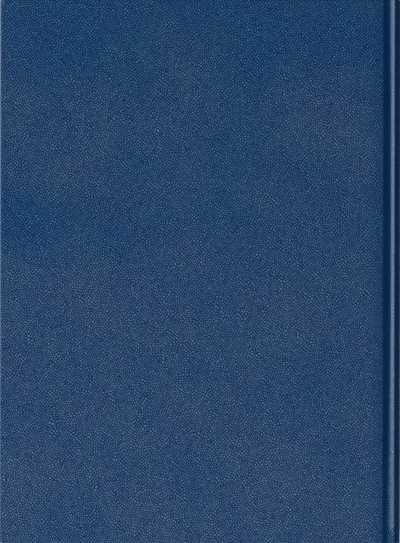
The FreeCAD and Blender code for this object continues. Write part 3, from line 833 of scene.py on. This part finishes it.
# Over the whole cover, a painted sheen, a pale haze of reflected light, greys the tops and thinly
# veils the rest. It is least at the head, and in one soft band above the cover's middle, which is
# strongest at the fore-edge.
# Places on the sheet are in mm from the book's middle.
BAND_AT = 27.0                    # mm above the cover's middle
BAND_REACH, BAND_CORE = 26.0, 3.0    # mm to both sides of it: to where the band ends, and is full
SHEEN_CLOUD = 45.5                # mm
along = sheet_axes["Y"]
head_sheen = add(tree, "ShaderNodeMapRange", {
    "Value": along, "From Min": 150.0, "From Max": 85.0, "To Max": 0.33},
    interpolation_type="SMOOTHSTEP")
tail_sheen = add(tree, "ShaderNodeMapRange", {
    "Value": along, "From Min": 60.0, "From Max": -110.0, "To Max": 0.2})
painted_sheen = add(tree, "ShaderNodeMath", {0: head_sheen, 1: tail_sheen}, operation="ADD")
from_band = add(tree, "ShaderNodeMath", {0: along, 1: BAND_AT}, operation="SUBTRACT")
from_band = add(tree, "ShaderNodeMath", {0: from_band}, operation="ABSOLUTE")
band = add(tree, "ShaderNodeMapRange", {
    "Value": from_band, "From Min": BAND_REACH, "From Max": BAND_CORE},
    interpolation_type="SMOOTHSTEP")
fading = add(tree, "ShaderNodeMapRange", {
    "Value": sheet_axes["X"], "From Min": -110.0, "From Max": 70.0, "To Min": 0.36, "To Max": 0.08})
band = add(tree, "ShaderNodeMath", {0: band, 1: fading}, operation="MULTIPLY")
painted_sheen = add(tree, "ShaderNodeMath", {0: painted_sheen, 1: band}, operation="SUBTRACT")
clouds = add(tree, "ShaderNodeTexNoise", {
    "Vector": on_sheet, "Scale": 1 / SHEEN_CLOUD, "Detail": 2.0}, noise_dimensions="2D", output="Fac")
cloudy = add(tree, "ShaderNodeMapRange", {
    "Value": clouds, "From Min": 0.3, "From Max": 0.7, "To Min": -0.16, "To Max": 0.16}, clamp=False)
painted_sheen = add(tree, "ShaderNodeMath", {0: painted_sheen, 1: cloudy}, operation="ADD")
wear_and_highlight = sheet_axes["Z"]
painted_sheen = add(tree, "ShaderNodeMath", {0: painted_sheen, 1: wear_and_highlight}, operation="MULTIPLY", use_clamp=True)

deep_colour = add(tree, "ShaderNodeValToRGB", {"Fac": grain}, stops=[
    (0.0, "#041F45"), (0.3, "#0D4277")])
# Painted highlight, with some real polish: the pale tops stand for the pebbles' glints in the lamp.
glint_colour = add(tree, "ShaderNodeMix", {
    "Factor_Float": painted_sheen, "A_Color": linear("#5483AB"), "B_Color": linear("#99A5B2")},
    data_type="RGBA", output="Result")
tops = add(tree, "ShaderNodeMapRange", {"Value": grain, "From Min": 0.4, "From Max": 0.8})
polish_and_glint = add(tree, "ShaderNodeMath", {0: tops, 1: wear_and_highlight}, operation="MULTIPLY")
# In patches the grain is embossed more shallowly, so less of it is polished and painted with glints.
PATCH = 8.33                      # mm
patches = add(tree, "ShaderNodeTexNoise", {"Vector": turned, "Scale": 1 / PATCH, "Detail": 1.0},
              noise_dimensions="2D", output="Fac")
shallow = add(tree, "ShaderNodeMapRange", {
    "Value": patches, "From Min": 0.35, "From Max": 0.65, "To Min": 0.86, "To Max": 1.06})
polish_and_glint = add(tree, "ShaderNodeMath", {0: polish_and_glint, 1: shallow}, operation="MULTIPLY", use_clamp=True)
cloth_colour = add(tree, "ShaderNodeMix", {
    "Factor_Float": polish_and_glint, "A_Color": deep_colour, "B_Color": glint_colour},
    data_type="RGBA", output="Result")
# Painted reflection: the veil is a thin pale haze of reflected light over all of the blue.
sheen_veil = add(tree, "ShaderNodeMath", {0: painted_sheen, 1: 0.025}, operation="MULTIPLY")
cloth_colour = add(tree, "ShaderNodeMix", {
    "Factor_Float": sheen_veil, "A_Color": cloth_colour, "B_Color": linear("#C9CDD3")},
    data_type="RGBA", output="Result")
# Painted highlight, with some real rubbing: where the wear is highest, on the crests' slopes towards
# the lamp, the cloth turns pale.
rubbed_and_highlit = add(tree, "ShaderNodeMapRange", {
    "Value": wear_and_highlight, "From Min": 0.8, "From Max": 1.0, "To Max": 0.3})
cloth_colour = add(tree, "ShaderNodeMix", {
    "Factor_Float": rubbed_and_highlit, "A_Color": cloth_colour, "B_Color": linear("#A3B4C9")},
    data_type="RGBA", output="Result")
# The dye runs from a slightly greener to a slightly redder blue.
DYE_PATCH = 28.6                  # mm
dyed = add(tree, "ShaderNodeTexNoise", {"Vector": on_sheet, "Scale": 1 / DYE_PATCH, "Detail": 2.0},
           noise_dimensions="2D", output="Fac")
hue = add(tree, "ShaderNodeMapRange", {
    "Value": dyed, "From Min": 0.3, "From Max": 0.7, "To Min": 0.496, "To Max": 0.504})
cloth_colour = add(tree, "ShaderNodeHueSaturation", {"Hue": hue, "Color": cloth_colour})
matt = add(tree, "ShaderNodeMapRange", {"Value": wear_and_highlight, "To Min": 0.8, "To Max": 0.45})
relief = add(tree, "ShaderNodeBump", {"Height": grain, "Distance": 0.05 * MM})
surface = add(tree, "ShaderNodeBsdfPrincipled", {
    "Base Color": cloth_colour, "Roughness": matt, "Specular IOR Level": 0.04, "Normal": relief})
add(tree, "ShaderNodeOutputMaterial", {"Surface": surface})

for side, up in SIDES.items():
    rows = [[placed(point, up) for point in panel_line(line)] for line in FOLD_LINES]
    tail_corner = len(face_xs)
    head_corner = tail_corner + CORNER_STEPS + len(face_ys)
    broken = {corner + i for corner in (tail_corner, head_corner) for i in range(-1, CORNER_STEPS)}
    face_rows = [[placed((x, y, outside(x, y), across_at[x], y, handled_and_glinting(x)), up) for x in face_xs]
                 for y in face_ys]
    cover = sheet_mesh(f"{side}_cover_cloth", rows, broken, face_rows, (0, 0, up))
    cover.data.materials.append(leathercloth)
    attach(cover, f"{side}_cover")
    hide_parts(f"cover_cloth_{side}")

    rows = [[placed(point, up) for point in row] for row in strip_lines(joint_stations)]
    joint = sheet_mesh(f"{side}_joint_cloth", rows, outwards=(0, 0, up))
    joint.data.materials.append(leathercloth)
    bend_across(joint, side, *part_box(f"cover_cloth_{side}_joint"))
    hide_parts(f"cover_cloth_{side}_joint")

rows = [[placed(point, 1) for point in row] for row in strip_lines(spine_stations)]
spine = sheet_mesh("spine_cloth", rows, outwards=(1, 0, 0))
spine.data.materials.append(leathercloth)
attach(spine, "book_block")
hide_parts("cover_cloth_spine")


# --------------------------------------
# Table. A plain pale sheet, painted matt, which the book lies on. It isn't part of the book, and is
# wide enough that its edges are never in view.
HALF_TABLE = 3.0
corners = [(-1, -1), (1, -1), (1, 1), (-1, 1)]
floor_mesh = bpy.data.meshes.new("table")
floor_mesh.from_pydata([(HALF_TABLE * x, HALF_TABLE * y, 0) for x, y in corners], [], [(0, 1, 2, 3)])
table = bpy.data.objects.new("table", floor_mesh)
bpy.context.scene.collection.objects.link(table)
table_paint, tree, in_mm = new_finish("Matt_Pale_Table")
surface = add(tree, "ShaderNodeBsdfPrincipled", {
    "Base Color": linear("#D9DADB"), "Roughness": 0.9})
add(tree, "ShaderNodeOutputMaterial", {"Surface": surface})
floor_mesh.materials.append(table_paint)


# --------------------------------------
# Light. A long soft lamp low on the fore-edge side, a rounder one from the tail, a weak one from the
# head, and an even room.
def lamp(name, place, width, length, strength):
    """A soft lamp that points at the book. Strength is the brightness a white sheet facing it gets."""
    made = bpy.data.lights.new(name, "AREA")
    made.shape, made.size, made.size_y = "RECTANGLE", width, length
    distance = Vector(place).length
    made.energy = strength * math.pi ** 2 * distance ** 2
    piece = bpy.data.objects.new(name, made)
    piece.location = place
    piece.rotation_euler = Vector(place).to_track_quat("Z", "Y").to_euler()
    piece.visible_camera = False
    bpy.context.scene.collection.objects.link(piece)


lamp("key", place=(-2.9, -0.15, 1.05), width=0.35, length=1.8, strength=0.62)
lamp("tail_fill", place=(-0.2, -2.3, 2.0), width=1.0, length=1.0, strength=0.6)
lamp("head_fill", place=(-0.2, 2.3, 2.0), width=1.0, length=1.0, strength=0.15)
ROOM_LIGHT = 0.15
room = bpy.data.worlds.new("room")
room.use_nodes = True
walls = room.node_tree.nodes["Background"].inputs
walls["Color"].default_value = linear("#FFFFFF")
walls["Strength"].default_value = ROOM_LIGHT
bpy.context.scene.world = room
bpy.context.scene.view_settings.view_transform = "Standard"


# --------------------------------------
# Camera. Straight down on the back cover from far away, so that nothing leans, and turned a hair
# against the book, which doesn't lie quite square in the view.
FRAME_WIDTH, FRAME_HEIGHT = 400, 543
VIEW_HEIGHT = 298.8 * MM          # of the book, over the frame's height
VIEW_INSET = 0.2 * MM             # the fore-edge lies this far outside the frame
VIEW_TURN = math.radians(0.1)
LENS, SENSOR = 500.0, 36.0
camera = bpy.data.cameras.new("camera")
camera.lens, camera.sensor_width = LENS, SENSOR
eye = bpy.data.objects.new("camera", camera)
view_width = VIEW_HEIGHT * FRAME_WIDTH / FRAME_HEIGHT
distance = VIEW_HEIGHT * LENS / SENSOR
eye.location = (cover_low[0] + VIEW_INSET + view_width / 2, 0, cover_high[2] + distance)
eye.rotation_euler = (0, 0, VIEW_TURN)
bpy.context.scene.collection.objects.link(eye)
bpy.context.scene.camera = eye
